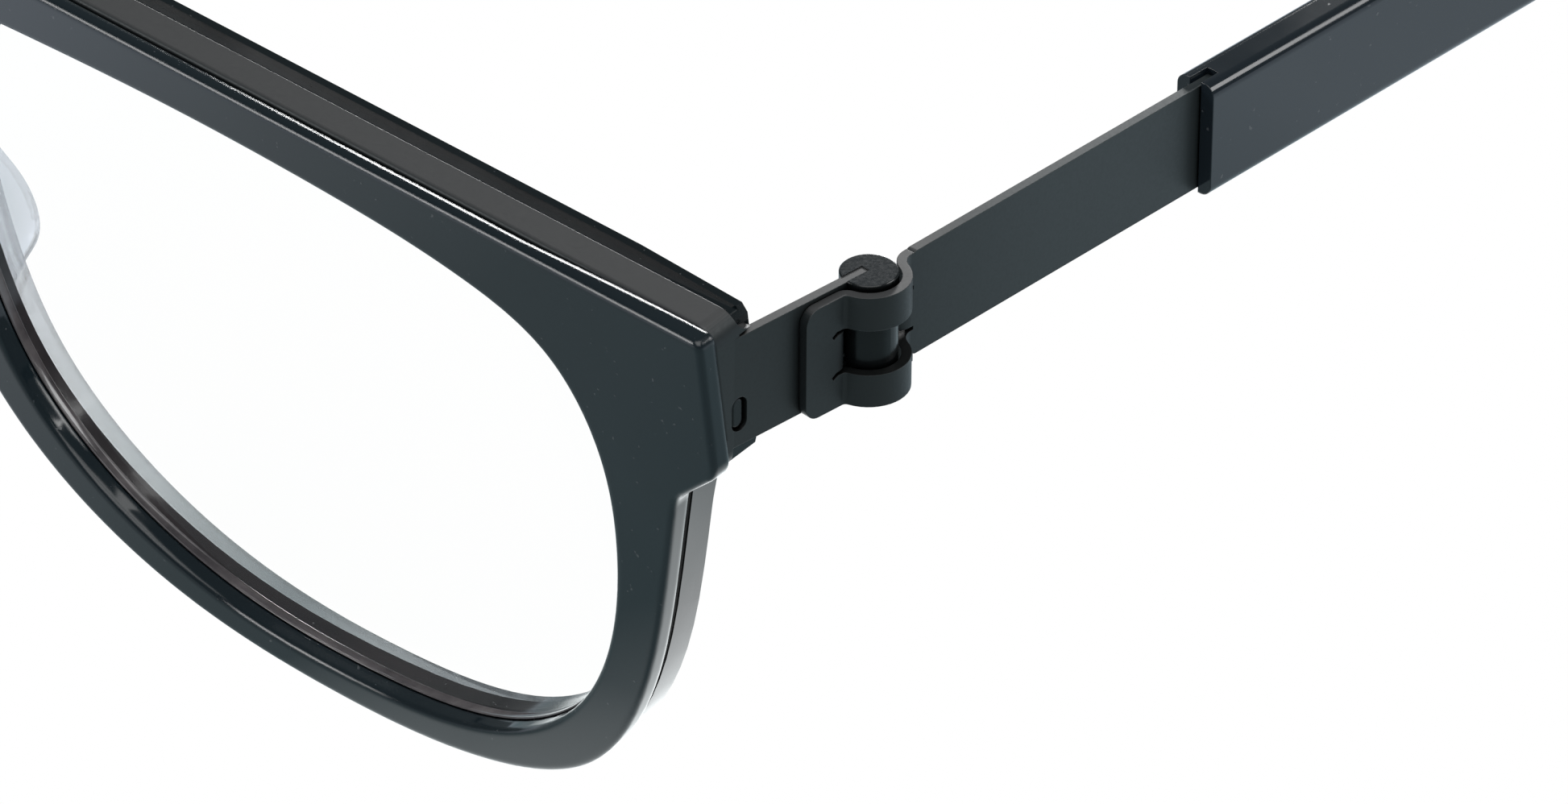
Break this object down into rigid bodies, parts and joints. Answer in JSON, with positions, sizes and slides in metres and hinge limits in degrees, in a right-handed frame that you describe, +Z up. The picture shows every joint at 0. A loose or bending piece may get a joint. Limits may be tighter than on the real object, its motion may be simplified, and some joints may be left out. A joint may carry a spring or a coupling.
{
  "type": "eyeglasses",
  "caption": "Full-rim eyeglasses with a layered acetate and sheet-metal front, clear lenses and nose pads, and folding temples on screwless clip hinges.",
  "frame": {"origin": "top of the bridge arch, in the symmetry plane, half way through the depth of the rims", "axes": "+X towards the wearer's left, +Y back along the temples towards the ears, +Z up"},
  "size_m": [0.1462, 0.1507, 0.0418],
  "materials": {
    "front_acetate": "polished blue-black acetate",
    "smoke_acetate": "polished dark smoke acetate",
    "clear_acetate": "polished crystal acetate",
    "lens": "clear plastic lens",
    "sheet_metal": "matt gunmetal coating on spring steel sheet",
    "hinge_metal": "satin black-grey coating",
    "rivet_metal": "satin black coating",
    "sleeve_acetate": "polished blue-black acetate"
  },
  "bodies": {
    "front": {"front_plate": "front_acetate", "core_sheet": "sheet_metal", "rear_plate": "smoke_acetate", "nose_pad_left": "clear_acetate", "nose_pad_right": "clear_acetate", "lens_left": "lens", "lens_right": "lens", "end_rivet_left": "rivet_metal", "end_rivet_right": "rivet_metal", "hinge_barrel_left": "hinge_metal", "hinge_barrel_right": "hinge_metal"},
    "left_temple": {"temple_strip_left": "sheet_metal", "temple_sleeve_left": "sleeve_acetate"},
    "right_temple": {"temple_strip_right": "sheet_metal", "temple_sleeve_right": "sleeve_acetate"}
  },
  "joints": [
    {"name": "left_temple_fold", "type": "hinge", "parent": "front", "child": "left_temple", "pos_m": [0.07077, 0.00959, 0.00437], "axis": [0, 0, 1], "range_deg": [0, 91]},
    {"name": "right_temple_fold", "type": "hinge", "parent": "front", "child": "right_temple", "pos_m": [-0.07077, 0.00959, 0.00437], "axis": [0, 0, -1], "range_deg": [0, 87]}
  ]
}
